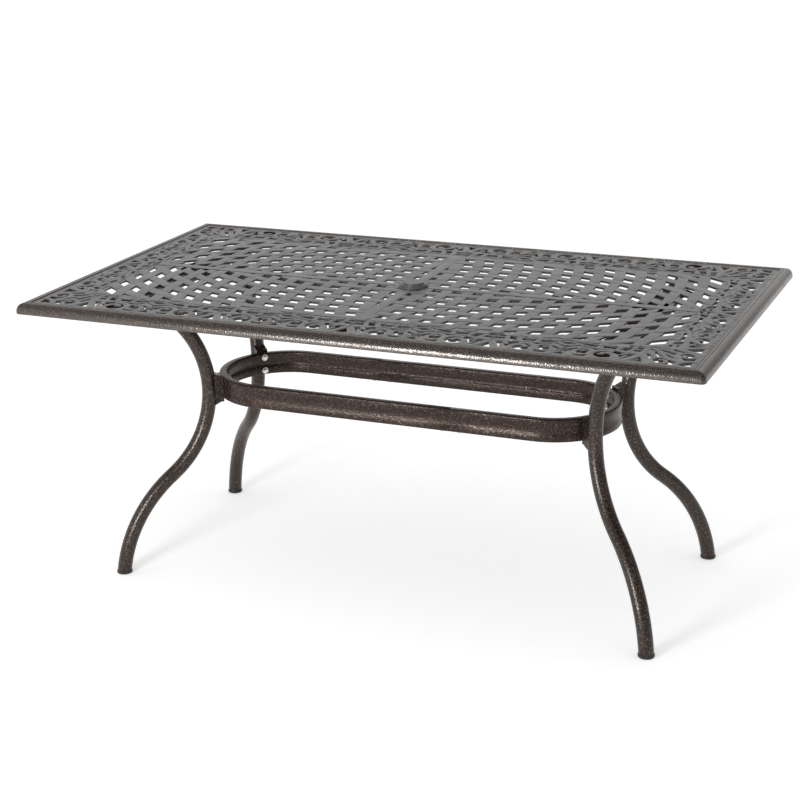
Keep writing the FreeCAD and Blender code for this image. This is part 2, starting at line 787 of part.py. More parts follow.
def knee_places():
    """Centre of the shin's bend and the point where it runs into the waist's bend, in the plane of
    the leg: distance out from the ring's end centre, and height."""
    bend, shin = size("waist_radius"), size("shin_radius")
    bend_x, bend_z = waist_out + bend, size("waist_height")
    span_x, span_z = foot_out - bend_x, size("foot_high") - bend_z
    reach = bend + shin
    far = root(span_x * span_x + span_z * span_z)
    along = (reach * reach - shin * shin + far * far) / (far * 2)
    aside = root(reach * reach - along * along)
    shin_x = bend_x + (span_x * along + span_z * aside) / far
    shin_z = bend_z + (span_z * along - span_x * aside) / far
    knee_x = bend_x + (shin_x - bend_x) * bend / reach
    knee_z = bend_z + (shin_z - bend_z) * bend / reach
    return (shin_x, shin_z), (knee_x, knee_z)


def bent_tube(label, radius, trimmed):
    """A solid rod along the leg's centre line, cut level at the foot and the top if trimmed."""
    body = new_body(label)
    (shin_x, shin_z), knee = knee_places()
    shin = size("shin_radius")
    spare = size("tube_diameter")
    foot = (foot_out, size("foot_high"))
    down_x = (foot[1] - shin_z) / shin
    down_z = (foot[0] - shin_x) / shin
    start = (foot[0] + spare * down_x, foot[1] - spare * down_z)
    elbow = (elbow_out, elbow_high)
    lean = size("top_lean")
    end = (leg_top_out + spare * sine(lean), leg_plate_under + spare * cosine(lean))
    path = new_sketch(body, label + "Path", "XZ_Plane")
    draw(path, [start, foot, knee, elbow, end], {1: shin, 2: -size("waist_radius")}, closed=False)
    ring = new_sketch(body, label + "Round", "XY_Plane")
    ring.MapMode = "Deactivated"
    tilt = math.degrees(math.asin(down_x.number))
    ring.Placement = FreeCAD.Placement(Vector(start[0].number, 0, start[1].number),
                                       FreeCAD.Rotation(Vector(0, -1, 0), tilt))
    bind(ring, ".Placement.Base.x", start[0])
    bind(ring, ".Placement.Base.z", start[1])
    bind(ring, ".Placement.Rotation.Angle", Size(tilt, "asin(%s)" % down_x.text))
    draw_circle(ring, 0, 0, radius)
    doc.recompute()
    pipe = body.newObject("PartDesign::AdditivePipe", label + "Bent")
    pipe.Profile = ring
    pipe.Spine = path
    if trimmed:
        for name, low, high, middle in (("Foot", -spare, foot[1], foot_out),
                                        ("Top", leg_plate_under, leg_plate_under + spare * 2,
                                         leg_top_out)):
            trim = new_sketch(body, label + name, "XZ_Plane")
            draw_box(trim, middle - spare * 2, middle + spare * 2, low, high)
            pocket(body, trim, spare * 2, both_ways=True)
    return body


leg_rod = bent_tube("LegRod", tube_radius, True)
leg_bore = bent_tube("LegBore", tube_radius - size("tube_wall"), False)
for corner, side_x, side_y in CORNERS:
    place_at_corner(keep(cut("leg_" + corner, leg_rod, leg_bore)), side_x, side_y)


# leg plates: flat plates welded on the legs and bolted up to the cross braces

def plate_blank():
    """One plate in the leg's plane, with its two bolt holes in line with the cross brace."""
    long, wide, thick = size("leg_plate_long"), size("leg_plate_wide"), size("leg_plate_thick")
    blank = box("PlateBlank", long, wide, thick)
    place(blank, leg_top_out - long / 2, -(wide / 2), leg_plate_under)
    return blank


def plate_drill(name, hand):
    """Both bolt holes; the brace crosses the plate at an angle that depends on the corner's hand."""
    holes = []
    for step in (-1, 1):
        hole = cylinder("%s%d" % (name, step), bolt_hole / 2, size("leg_plate_thick") * 3)
        offset = size("bolt_offset_leg") * step
        place(hole, leg_top_out + offset * sine(size("leg_angle")),
              offset * cosine(size("leg_angle")) * hand, leg_plate_under - size("leg_plate_thick"))
        holes.append(hole)
    return fuse(name, holes)


plate = plate_blank()
drills = {1: plate_drill("PlateDrillRight", 1), -1: plate_drill("PlateDrillLeft", -1)}
for corner, side_x, side_y in CORNERS:
    hand = side_x * side_y
    place_at_corner(keep(cut("leg_plate_" + corner, plate, drills[hand])), side_x, side_y)


# brackets: short castings welded to the legs, each with two threaded holes for the ring's bolts

def bracket_blank():
    body = new_body("BracketBlank")
    side = new_sketch(body, "BracketSide", "XZ_Plane")
    back = size("ring_radius") - size("ring_thick") / 2
    face = size("ring_radius") + size("bracket_flare")
    front = size("ring_radius") + size("bracket_reach") + size("bracket_saddle")
    low = size("ring_middle") - size("bracket_high") / 2
    high = low + size("bracket_high")
    flare = size("bracket_flare")
    draw(side, [(back, low), (face, low), (front, low - flare), (front, high + flare), (face, high),
                (back, high)])
    pad(body, side, size("bracket_wide"), both_ways=True)
    return body


def bracket_tool():
    """What the bracket gives way to: the leg, the ring, and its two threaded holes."""
    ring = cylinder("RingSpace", size("ring_radius"), size("ring_high") * 3)
    place(ring, 0, 0, ring_low - size("ring_high"))
    tools = [leg_rod, ring]
    for step in (-1, 1):
        hole = cylinder("BracketThread%d" % step, size("bolt_diameter") / 2,
                        size("ring_thick") + size("bolt_into_bracket"))
        lay_along_x(hole, size("ring_radius") - size("ring_thick"), 0,
                    size("ring_middle") + size("bolt_pitch_ring") * (step * 0.5))
        tools.append(hole)
    return fuse("BracketSpace", tools)


bracket = bracket_blank()
bracket_space = bracket_tool()
for corner, side_x, side_y in CORNERS:
    place_at_corner(keep(cut("ring_bracket_" + corner, bracket, bracket_space)), side_x, side_y)


# foot caps: plastic caps with a rounded floor and a plug up into the tube

def foot_cap(label, side_x, side_y):
    body = new_body(label)
    radius, high, rounding = size("foot_diameter") / 2, size("foot_high"), size("foot_round")
    plug, plug_high = size("foot_plug") / 2, size("foot_plug_high")
    section = new_sketch(body, label + "Section", "XZ_Plane")
    draw(section, [(0, 0), (radius - rounding, 0), (radius, rounding), (radius, high), (plug, high),
                   (plug, high + plug_high), (0, high + plug_high)], {1: rounding})
    turn_solid(body, section)
    place(body, (size("ring_end_x") + foot_out * cosine(size("leg_angle"))) * side_x,
          foot_out * sine(size("leg_angle")) * side_y, 0)
    return keep(body)


for corner, side_x, side_y in CORNERS:
    foot_cap("foot_cap_" + corner, side_x, side_y)


# fasteners, each kind one group of separate solids

DOME_SHARE = 0.8        # of a bolt head's height that its rounded edge takes


def headed_bolt(name, radius, reach, head_radius, head_high):
    """A bolt about +Z, its domed head below z = 0 and its shank above."""
    head = cylinder(name + "Head", head_radius, head_high)
    place(head, 0, 0, -head_high)
    dome = doc.addObject("Part::Fillet", name + "Dome")
    dome.Base = head
    doc.recompute()
    rounding = head_high.number * DOME_SHARE
    for number, edge in enumerate(head.Shape.Edges, start=1):
        if edge.Closed and edge.CenterOfMass.z < -rounding:
            dome.Edges = [(number, rounding, rounding)]
    shank = cylinder(name + "Shank", radius, reach)
    return fuse(name, [dome, shank])


def ring_washer(name, bore, radius, thick):
    disc = cylinder(name + "Disc", radius, thick)
    hole = cylinder(name + "Hole", bore, thick * 3)
    place(hole, 0, 0, -thick)
    return cut(name, disc, hole)


def along_leg(obj, out, high, side_x, side_y):
    """Lay a piece made about +Z outwards in a leg's plane."""
    turn = corner_turn(side_x, side_y)
    spin = FreeCAD.Rotation(Vector(0, 0, 1), turn.number)
    obj.Placement = FreeCAD.Placement(Vector(0, 0, 0), spin.multiply(FreeCAD.Rotation(Vector(0, 1, 0), 90)))
    bind(obj, ".Placement.Base.x", (size("ring_end_x") + out * cosine(size("leg_angle"))) * side_x)
    bind(obj, ".Placement.Base.y", out * sine(size("leg_angle")) * side_y)
    bind(obj, ".Placement.Base.z", high)


thread_gap = size("thread_gap")
washer_bore = bolt_hole / 2
washer_radius = size("washer_diameter") / 2
bolt_radius = size("bolt_diameter") / 2 - thread_gap
ring_inside = size("ring_radius") - size("ring_thick")
seat_sag = washer_radius * washer_radius / (ring_inside * 2) + thread_gap
washer_seat = ring_inside - seat_sag - size("washer_thick")
bolts, washers = [], []
for corner, side_x, side_y in CORNERS:
    for step in (-1, 1):
        high = size("ring_middle") + size("bolt_pitch_ring") * (step * 0.5)
        name = "%s%d" % (corner, step)
        bolt = headed_bolt("RingBolt" + name, bolt_radius, size("ring_thick") + seat_sag
                           + size("washer_thick") + size("bolt_into_bracket") - thread_gap,
                           size("head_diameter") / 2, size("head_high"))
        along_leg(bolt, washer_seat, high, side_x, side_y)
        bolts.append(bolt)
        washer = ring_washer("RingWasher" + name, washer_bore, washer_radius, size("washer_thick"))
        along_leg(washer, washer_seat, high, side_x, side_y)
        washers.append(washer)
keep(group("ring_bolts", bolts))
keep(group("ring_bolt_washers", washers))

bolts, washers, nuts = [], [], []
insert_floor = brace_under + size("brace_wall")
for corner, side_x, side_y in CORNERS:
    for step in (-1, 1):
        x = leg_top_x * side_x
        y = leg_top_y * side_y + size("bolt_offset_leg") * step
        name = "%s%d" % (corner, step)
        low = leg_plate_under - size("washer_thick")
        bolt = headed_bolt("LegBolt" + name, bolt_radius, size("washer_thick")
                           + size("leg_plate_thick") + size("brace_wall") + size("insert_nut_high"),
                           size("head_diameter") / 2, size("head_high"))
        place(bolt, x, y, low)
        bolts.append(bolt)
        washer = ring_washer("LegWasher" + name, washer_bore, washer_radius, size("washer_thick"))
        place(washer, x, y, low)
        washers.append(washer)
        nut = ring_washer("LegNut" + name, size("bolt_diameter") / 2,
                          size("insert_nut_diameter") / 2, size("insert_nut_high"))
        place(nut, x, y, insert_floor)
        nuts.append(nut)
keep(group("leg_bolts", bolts))
keep(group("leg_bolt_washers", washers))
keep(group("leg_bolt_inserts", nuts))

screws = []
screw_line = size("ring_radius") - size("ring_thick") / 2
for side in (-1, 1):
    for step in (-1, 1):
        screw = headed_bolt("SleeveScrew%d%d" % (side, step), size("screw_diameter") / 2 - thread_gap,
                            size("screw_reach"), size("screw_head") / 2, size("screw_head_high"))
        place(screw, size("ring_seam_x") * -side + size("screw_pitch") * (step * 0.5),
              screw_line * side, ring_low)
        screws.append(screw)
keep(group("sleeve_screws", screws))


# checks and files

doc.recompute()
for obj in doc.Objects:
    for word in ("Invalid", "Error"):
        if word in obj.State:
            raise RuntimeError("%s is %s" % (obj.Name, obj.State))
os.makedirs("parts", exist_ok=True)
for obj in parts:
    shape = obj.Shape
    if shape.isNull() or not shape.isValid():
        raise RuntimeError("bad shape: " + obj.Label)
    print("%-28s solids %d faces %d volume %.0f" % (obj.Label, len(shape.Solids), len(shape.Faces),
                                                    shape.Volume))
for obj in parts:
    obj.Shape.exportStep("parts/%s.step" % obj.Label)
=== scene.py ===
import json
import math

import bmesh
import bpy
from mathutils import Matrix, Vector


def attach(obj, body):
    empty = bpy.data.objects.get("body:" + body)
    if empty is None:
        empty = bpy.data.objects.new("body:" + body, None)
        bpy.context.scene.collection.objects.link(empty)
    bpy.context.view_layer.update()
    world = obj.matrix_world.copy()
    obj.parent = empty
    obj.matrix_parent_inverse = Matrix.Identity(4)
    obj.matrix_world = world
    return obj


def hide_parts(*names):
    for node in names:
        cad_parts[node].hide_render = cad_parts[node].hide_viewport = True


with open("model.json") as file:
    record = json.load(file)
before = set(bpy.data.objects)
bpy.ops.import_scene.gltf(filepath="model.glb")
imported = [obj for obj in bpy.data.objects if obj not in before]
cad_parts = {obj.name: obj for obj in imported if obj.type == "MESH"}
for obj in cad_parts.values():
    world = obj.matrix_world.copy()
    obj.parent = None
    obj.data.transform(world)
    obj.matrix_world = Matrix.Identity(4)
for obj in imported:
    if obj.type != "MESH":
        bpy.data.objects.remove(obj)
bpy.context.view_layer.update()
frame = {"nodes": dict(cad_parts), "record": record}

MM = 0.001               # sizes of the table's pieces are in millimetres, and their meshes in metres
SMOOTH_UP_TO = 40.0      # degrees between faces that still shade as one surface


# shading helpers; most add one node and give back its output

def new_material(name):
    """A material with only its principled shader and output, and a short way to add nodes."""
    material = bpy.data.materials.new(name)
    material.use_nodes = True
    return material, material.node_tree.nodes, material.node_tree.links


def ramp(tree, source, stops):
    """A colour ramp with the given stops, (place, colour) each."""
    node = tree.nodes.new("ShaderNodeValToRGB")
    while len(node.color_ramp.elements) < len(stops):
        node.color_ramp.elements.new(1.0)
    for element, (place, colour) in zip(node.color_ramp.elements, stops):
        element.position = place
        element.color = (*colour, 1.0)
    tree.links.new(source, node.inputs["Fac"])
    return node.outputs["Color"]


def map_range(tree, source, low, high, out_low, out_high):
    """A value moved from one range to another."""
    node = tree.nodes.new("ShaderNodeMapRange")
    node.inputs["From Min"].default_value = low
    node.inputs["From Max"].default_value = high
    node.inputs["To Min"].default_value = out_low
    node.inputs["To Max"].default_value = out_high
    tree.links.new(source, node.inputs["Value"])
    return node.outputs["Result"]


def noise(tree, place, scale, detail=2.0, roughness=0.5):
    """Soft cloudy values from 0 to 1."""
    node = tree.nodes.new("ShaderNodeTexNoise")
    node.inputs["Scale"].default_value = scale
    node.inputs["Detail"].default_value = detail
    node.inputs["Roughness"].default_value = roughness
    tree.links.new(place, node.inputs["Vector"])
    return node.outputs["Fac"]


def round_cells(tree, place, scale):
    """Values that rise from the middle of each cell to the ridges between cells."""
    node = tree.nodes.new("ShaderNodeTexVoronoi")
    node.feature = "SMOOTH_F1"
    node.inputs["Scale"].default_value = scale
    tree.links.new(place, node.inputs["Vector"])
    return node.outputs["Distance"]


def mix_values(tree, first, second, share):
    """A mix of two values by a fixed share."""
    node = tree.nodes.new("ShaderNodeMix")
    node.inputs["Factor"].default_value = share
    tree.links.new(first, node.inputs["A"])
    tree.links.new(second, node.inputs["B"])
    return node.outputs["Result"]


def maths(tree, kind, first, second):
    """Two values joined by a sum, product or maximum; either may be a plain number."""
    node = tree.nodes.new("ShaderNodeMath")
    node.operation = kind
    for value, socket in ((first, node.inputs[0]), (second, node.inputs[1])):
        if isinstance(value, (int, float)):
            socket.default_value = value
        else:
            tree.links.new(value, socket)
    return node.outputs["Value"]


def new_group(name, inputs, outputs):
    """An empty node group with named sockets; inputs give (name, default)."""
    group = bpy.data.node_groups.new(name, "ShaderNodeTree")
    for label, default in inputs:
        socket = group.interface.new_socket(label, in_out="INPUT", socket_type="NodeSocketFloat")
        socket.default_value = default
    for label, kind in outputs:
        group.interface.new_socket(label, in_out="OUTPUT", socket_type=kind)
    return group, group.nodes.new("NodeGroupInput"), group.nodes.new("NodeGroupOutput")


def scaled_place(group, given):
    """Object coordinates times the group's Scale."""
    place = group.nodes.new("ShaderNodeTexCoord").outputs["Object"]
    stretch = group.nodes.new("ShaderNodeVectorMath")
    stretch.operation = "SCALE"
    group.links.new(place, stretch.inputs[0])
    group.links.new(given.outputs["Scale"], stretch.inputs["Scale"])
    return stretch.outputs["Vector"]


HAMMER_DIMPLES = 290.0      # dimples of the hammer paint per metre
DRAWN_LINES_UP = 620.0      # die lines per metre of height
DRAWN_LINES_ALONG = 9.0     # and how often a line fades, per metre of length
CAST_GRAIN = 900.0          # grains per metre on the cast top
PLASTIC_GRAIN = 1400.0
PLATING_GRAIN = 1200.0


def hammered_group():
    """Hammer paint: shallow dimples about 3.5 mm across, with light metal gathered on the ridges between."""
    group, given, out = new_group("hammered coat", [("Scale", HAMMER_DIMPLES)],
                                  [("Fleck", "NodeSocketFloat"), ("Height", "NodeSocketFloat"),
                                   ("Cloud", "NodeSocketFloat")])
    scaled = scaled_place(group, given)
    dimples = round_cells(group, scaled, 1.0)
    grain = noise(group, scaled, 1.7, 2.0, 0.6)
    cloud = noise(group, scaled, 0.05, 2.0)
    height = maths(group, "ADD", dimples, maths(group, "MULTIPLY", grain, 0.5))
    mottle = maths(group, "ADD", maths(group, "MULTIPLY", dimples, 0.8), grain)
    fleck = map_range(group, mottle, 0.55, 1.25, 0.0, 1.0)
    group.links.new(fleck, out.inputs["Fleck"])
    group.links.new(height, out.inputs["Height"])
    group.links.new(cloud, out.inputs["Cloud"])
    return group


def drawn_lines_group():
    """Fine level lines left along an extruded bar by its die."""
    group, given, out = new_group("drawn lines", [("Scale", 1.0)], [("Line", "NodeSocketFloat")])
    scaled = scaled_place(group, given)
    flatten = group.nodes.new("ShaderNodeMapping")
    flatten.inputs["Scale"].default_value = (DRAWN_LINES_ALONG, DRAWN_LINES_ALONG, DRAWN_LINES_UP)
    group.links.new(scaled, flatten.inputs["Vector"])
    group.links.new(noise(group, flatten.outputs["Vector"], 1.0, 2.0, 0.6), out.inputs["Line"])
    return group


def sand_group():
    """The fine grain of a sand casting under its coat."""
    group, given, out = new_group("cast grain", [("Scale", CAST_GRAIN)],
                                  [("Grain", "NodeSocketFloat"), ("Cloud", "NodeSocketFloat")])
    scaled = scaled_place(group, given)
    group.links.new(noise(group, scaled, 1.0, 3.0, 0.65), out.inputs["Grain"])
    group.links.new(noise(group, scaled, 0.02, 3.0), out.inputs["Cloud"])
    return group


HAMMERED = hammered_group()
DRAWN_LINES = drawn_lines_group()
SAND = sand_group()


def place_group(tree, group, scale):
    """A node group set down in a material at its own scale."""
    node = tree.nodes.new("ShaderNodeGroup")
    node.node_tree = group
    node.inputs["Scale"].default_value = scale
    return node


def bump(tree, height, strength, distance):
    """A normal tilted by a height; distance is the height's full depth in metres."""
    node = tree.nodes.new("ShaderNodeBump")
    node.inputs["Strength"].default_value = strength
    node.inputs["Distance"].default_value = distance
    tree.links.new(height, node.inputs["Height"])
    return node.outputs["Normal"]


def hammered_bronze(name="hammered bronze", lines=0.0, relief=0.0008, tint=(1.0, 0.82, 0.74), gloss=0.30):
    """Dark bronze hammer paint; lines is the share of the relief that an extruded bar's lines have."""
    material, nodes, links = new_material(name)
    tree = material.node_tree
    shader = nodes["Principled BSDF"]
    coat = place_group(tree, HAMMERED, HAMMER_DIMPLES)
    fleck, height = coat.outputs["Fleck"], coat.outputs["Height"]
    if lines:
        drawn = place_group(tree, DRAWN_LINES, 1.0)
        fleck = mix_values(tree, fleck, drawn.outputs["Line"], lines)
        height = mix_values(tree, height, drawn.outputs["Line"], lines)
    colour = ramp(tree, fleck, [(0.05, (0.0035, 0.0020, 0.0015)), (0.30, (0.011, 0.0068, 0.0054)),
                                (0.55, (0.030, 0.0205, 0.0165)), (0.85, (0.135, 0.10, 0.085))])
    links.new(colour, shader.inputs["Base Color"])
    links.new(map_range(tree, fleck, 0.5, 1.0, 0.0, 0.5), shader.inputs["Metallic"])
    links.new(map_range(tree, coat.outputs["Cloud"], 0.3, 0.7, 0.20, 0.27), shader.inputs["Roughness"])
    links.new(bump(tree, height, 1.0, relief), shader.inputs["Normal"])
    shader.inputs["Specular IOR Level"].default_value = gloss
    shader.inputs["Specular Tint"].default_value = (*tint, 1.0)
    return material


def cast_bronze():
    """The same paint on the cast top, where it lies thinner over the fine grain of the sand."""
    material, nodes, links = new_material("cast bronze")
    tree = material.node_tree
    shader = nodes["Principled BSDF"]
    grain = place_group(tree, SAND, CAST_GRAIN)
    colour = ramp(tree, grain.outputs["Grain"],
                  [(0.3, (0.014, 0.0095, 0.0080)), (0.7, (0.032, 0.024, 0.021))])
    links.new(colour, shader.inputs["Base Color"])
    links.new(map_range(tree, grain.outputs["Cloud"], 0.3, 0.7, 0.34, 0.44), shader.inputs["Roughness"])
    links.new(bump(tree, grain.outputs["Grain"], 0.5, 0.0003), shader.inputs["Normal"])
    shader.inputs["Specular IOR Level"].default_value = 0.42
    shader.inputs["Coat Weight"].default_value = 0.55
    shader.inputs["Coat Roughness"].default_value = 0.36
    return material


def moulded_plastic(name, dark, light, roughness):
    """Plastic with slow changes of colour between two tones and the fine grain of its mould."""
    material, nodes, links = new_material(name)
    tree = material.node_tree
    shader = nodes["Principled BSDF"]
    grain = place_group(tree, SAND, PLASTIC_GRAIN)
    links.new(ramp(tree, grain.outputs["Cloud"], [(0.3, dark), (0.7, light)]), shader.inputs["Base Color"])
    links.new(map_range(tree, grain.outputs["Grain"], 0.3, 0.7, roughness - 0.05, roughness + 0.05),
              shader.inputs["Roughness"])
    links.new(bump(tree, grain.outputs["Grain"], 0.15, 0.0002), shader.inputs["Normal"])
    return material


def plated_metal(name, dark, light, roughness):
    """Bare or plated metal, a little uneven in its polish."""
    material, nodes, links = new_material(name)
    tree = material.node_tree
    shader = nodes["Principled BSDF"]
    grain = place_group(tree, SAND, PLATING_GRAIN)
    links.new(ramp(tree, grain.outputs["Cloud"], [(0.3, dark), (0.7, light)]), shader.inputs["Base Color"])
    shader.inputs["Metallic"].default_value = 1.0
    links.new(map_range(tree, grain.outputs["Grain"], 0.3, 0.7, roughness - 0.07, roughness + 0.07),
              shader.inputs["Roughness"])
    return material


MATERIALS = {
    "hammered_bronze": hammered_bronze(),
    "cast_bronze": cast_bronze(),
    "bronze_plastic": moulded_plastic("bronze plastic", (0.085, 0.081, 0.079), (0.125, 0.120, 0.117), 0.38),
    "dark_plastic": moulded_plastic("dark plastic", (0.010, 0.010, 0.010), (0.018, 0.017, 0.017), 0.5),
    "bright_steel": plated_metal("bright steel", (0.62, 0.60, 0.56), (0.78, 0.76, 0.72), 0.28),
    "bare_aluminium": plated_metal("bare aluminium", (0.66, 0.66, 0.67), (0.76, 0.76, 0.77), 0.40),
}

# the same paint where it lies on drawn bars, on the rim's rails and on the tubes of the legs
BAR_COAT = hammered_bronze("hammered bronze, extruded", lines=0.2, relief=0.00070)
RIM_COAT = hammered_bronze("hammered bronze, rim", relief=0.00044, tint=(1.0, 0.94, 0.88), gloss=1.0)
LEG_COAT = hammered_bronze("hammered bronze, legs", relief=0.00044, tint=(1.0, 0.93, 0.86), gloss=0.42)


def dress(piece, coat):
    """Give a piece one finish all over."""
    piece.data.materials.clear()
    piece.data.materials.append(coat)


def coat_for(part):
    """The finish of a CAD node: its slot's, or the legs' own for their tubes."""
    if part["node"].startswith(("leg_front", "leg_back")):
        return LEG_COAT
    return MATERIALS[part["material_slot"]]


for part in frame["record"]["subparts"]:
    dress(frame["nodes"][part["node"]], coat_for(part))


# building meshes from rings of points

def finish_piece(name, shell, slot, node, coat=None, merged=False):
    """A piece of the table from a shell in millimetres, in place of a node, with outward faces."""
    mesh = bpy.data.meshes.new(name)
    mesh.from_pydata([(x * MM, y * MM, z * MM) for x, y, z in shell.points], [], shell.faces)
    shaped = bmesh.new()
    shaped.from_mesh(mesh)
    if merged:
        bmesh.ops.remove_doubles(shaped, verts=shaped.verts, dist=0.01 * MM)
    bmesh.ops.recalc_face_normals(shaped, faces=shaped.faces)
    shaped.to_mesh(mesh)
    shaped.free()
    piece = bpy.data.objects.new(name, mesh)
    bpy.context.scene.collection.objects.link(piece)
    piece.data.shade_smooth()
    bpy.ops.object.select_all(action="DESELECT")
    piece.select_set(True)
    bpy.context.view_layer.objects.active = piece
    bpy.ops.object.shade_smooth_by_angle(angle=math.radians(SMOOTH_UP_TO))
    dress(piece, coat or MATERIALS[slot])
    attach(piece, "table")
    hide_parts(node)


class Shell:
    """Points and faces of closed strips, gathered into one mesh."""

    def __init__(self):
        self.points = []
        self.faces = []

    def add_strip(self, rings, closed=False):
        """Skin a row of equal rings of points; an open strip gets a face at each end."""
        start = len(self.points)
        sides = len(rings[0])
        for ring in rings:
            self.points.extend(ring)
        spans = len(rings) if closed else len(rings) - 1
        for i in range(spans):
            near = start + i * sides
            far = start + ((i + 1) % len(rings)) * sides
            for k in range(sides):
                after = (k + 1) % sides
                self.faces.append((near + k, near + after, far + after, far + k))
        if not closed:
            self.faces.append(tuple(start + k for k in range(sides)))
            last = start + (len(rings) - 1) * sides
            self.faces.append(tuple(last + k for k in range(sides)))

    def mirrored(self, along_x, along_y):
        """The same strips on the other side of the table's axes."""
        side_x, side_y = (-1 if along_x else 1), (-1 if along_y else 1)
        copy = Shell()
        copy.points = [(side_x * x, side_y * y, z) for x, y, z in self.points]
        copy.faces = list(self.faces)
        return copy

    def join(self, other):
        """Take in another shell's strips."""
        start = len(self.points)
        self.points.extend(other.points)
        self.faces.extend(tuple(start + k for k in face) for face in other.faces)


# woven field: strips that pass over and under each other in each quarter of the top

FIELD_LONG, FIELD_WIDE = 714.0, 318.0      # half sizes of the open weave
STRIP = 28.0                               # width of a strip
PITCH = 53.0                               # from one strip to the next
FIRST_COLUMN = 45.0                        # middle and width of the column beside the short spine
FIRST_COLUMN_WIDE = 32.0
SECOND_COLUMN = 100.0
ROWS, COLUMNS = 9, 13                      # in each quarter
OVER_TOP, UNDER_TOP = 752.3, 751.8         # heights of a strip where it lies over others and under them
SPINE_TOP = 752.45
STRIP_UNDER = 747.4
DIP_RUN = 4.0                              # length of the slope on each side of a dip
BAND_LAP = 13.0                            # how far inside the band's outer edge a strip ends
SEARCH_STEP = 2.0                          # step of the search for a strip's ends
SHORTEST_STRIP = 8.0
ROW_REACH = FIELD_LONG + 12.0              # as far out as a row may run
PAST_END = 60.0                            # how far a strip's last level goes on past the strip's end
ROW_BEND, ROW_BEND_LESS = 340.0, 0.36      # fall of a row at the field's end, less for rows farther out
COLUMN_BEND, COLUMN_BEND_LESS = 44.0, 0.031


def row_place(start, x):
    """Distance from the long spine of a row that starts at the short spine."""
    bend = ROW_BEND - ROW_BEND_LESS * start
    return start - bend * (abs(x) / FIELD_LONG) ** 3


def column_place(start, y):
    """Distance from the short spine of a column that starts at the long spine."""
    bend = COLUMN_BEND - COLUMN_BEND_LESS * start
    return start - bend * (abs(y) / FIELD_WIDE) ** 3


def crossing(column, row):
    """Where a column's line crosses a row's line."""
    x, y = column, row
    for _ in range(12):     # far more turns than the two slow curves need to settle
        y = row_place(row, x)
        x = column_place(column, y)
    return x, y


def column_edges(number):
    """Starts of a column's two edges; the first one is wider and lies close to the spine."""
    if number == 1:
        return FIRST_COLUMN - FIRST_COLUMN_WIDE / 2, FIRST_COLUMN + FIRST_COLUMN_WIDE / 2
    middle = SECOND_COLUMN + PITCH * (number - 2)
    return middle - STRIP / 2, middle + STRIP / 2


def row_edges(number):
    """Starts of a row's two edges at the short spine."""
    return PITCH * number - STRIP / 2, PITCH * number + STRIP / 2


def scallop(run, half_step, lobe, cusp):
    """Distance of the band's outer edge from the middle line, at a place along the side."""
    return cusp + (lobe - cusp) * abs(math.sin(math.pi * run / half_step)) ** 0.7


def band_long(x):
    """The band's outer edge along the table's long sides."""
    return scallop(x, half_step=172.5, lobe=353.0, cusp=334.0)


def band_short(y):
    """The band's outer edge along the table's short sides."""
    return scallop(y, half_step=158.0, lobe=738.0, cusp=718.0)


def level_at(place, levels):
    """Height between the flats of a strip; levels are (start, end, height) in order."""
    before = levels[0]
    for level in levels:
        if level[0] <= place <= level[1]:
            return level[2]
        if place < level[0]:
            share = (place - before[1]) / max(level[0] - before[1], 0.01)
            smooth = share * share * (3 - 2 * share)
            return before[2] + (level[2] - before[2]) * smooth
        before = level
    return before[2]


def dipping_levels(crossings, end):
    """Flats of a strip that lies high, and dips where it passes under; crossings are (start, end, over)."""
    levels = []
    before = 0.0
    for start, stop, over in crossings:
        if over:
            continue
        if start - DIP_RUN > before + 1:
            levels.append((before, start - DIP_RUN, OVER_TOP))
        levels.append((max(start, before), stop, UNDER_TOP))
        before = stop + DIP_RUN
    levels.append((min(before, end - 0.5), end + PAST_END, OVER_TOP))
    return levels


def stops_along(levels, end):
    """Places of the rings: both ends of each flat, three more in a long one, and two in each slope."""
    stops = []
    for i, (start, stop, _) in enumerate(levels):
        stops += [start, stop]
        if stop - start > 40:
            stops += [start + (min(stop, end) - start) * share for share in (0.25, 0.5, 0.75)]
        if i + 1 < len(levels):
            gap = levels[i + 1][0] - stop
            stops += [stop + gap * share for share in (0.35, 0.65)]
    tidy = []
    for stop in sorted(stops):
        if stop <= end and (not tidy or stop - tidy[-1] > 0.8):
            tidy.append(stop)
    tidy.append(end)
    return tidy


# a strip's top across its width, as (share of the width, height over the flat)
STRIP_PROFILE = [(0.0, -1.1), (0.02, -0.4), (0.06, -0.07), (0.1, 0.0),
                 (0.9, 0.0), (0.94, -0.07), (0.98, -0.4), (1.0, -1.1)]


def flat_strip_ring(low, high, top, place):
    """One ring of a strip between two edges; place turns a share of the width into x and y."""
    ring = []
    for share, drop in STRIP_PROFILE:
        ring.append((*place(low + (high - low) * share), top + drop))
    ring.append((*place(high), STRIP_UNDER))
    ring.append((*place(low), STRIP_UNDER))
    return ring


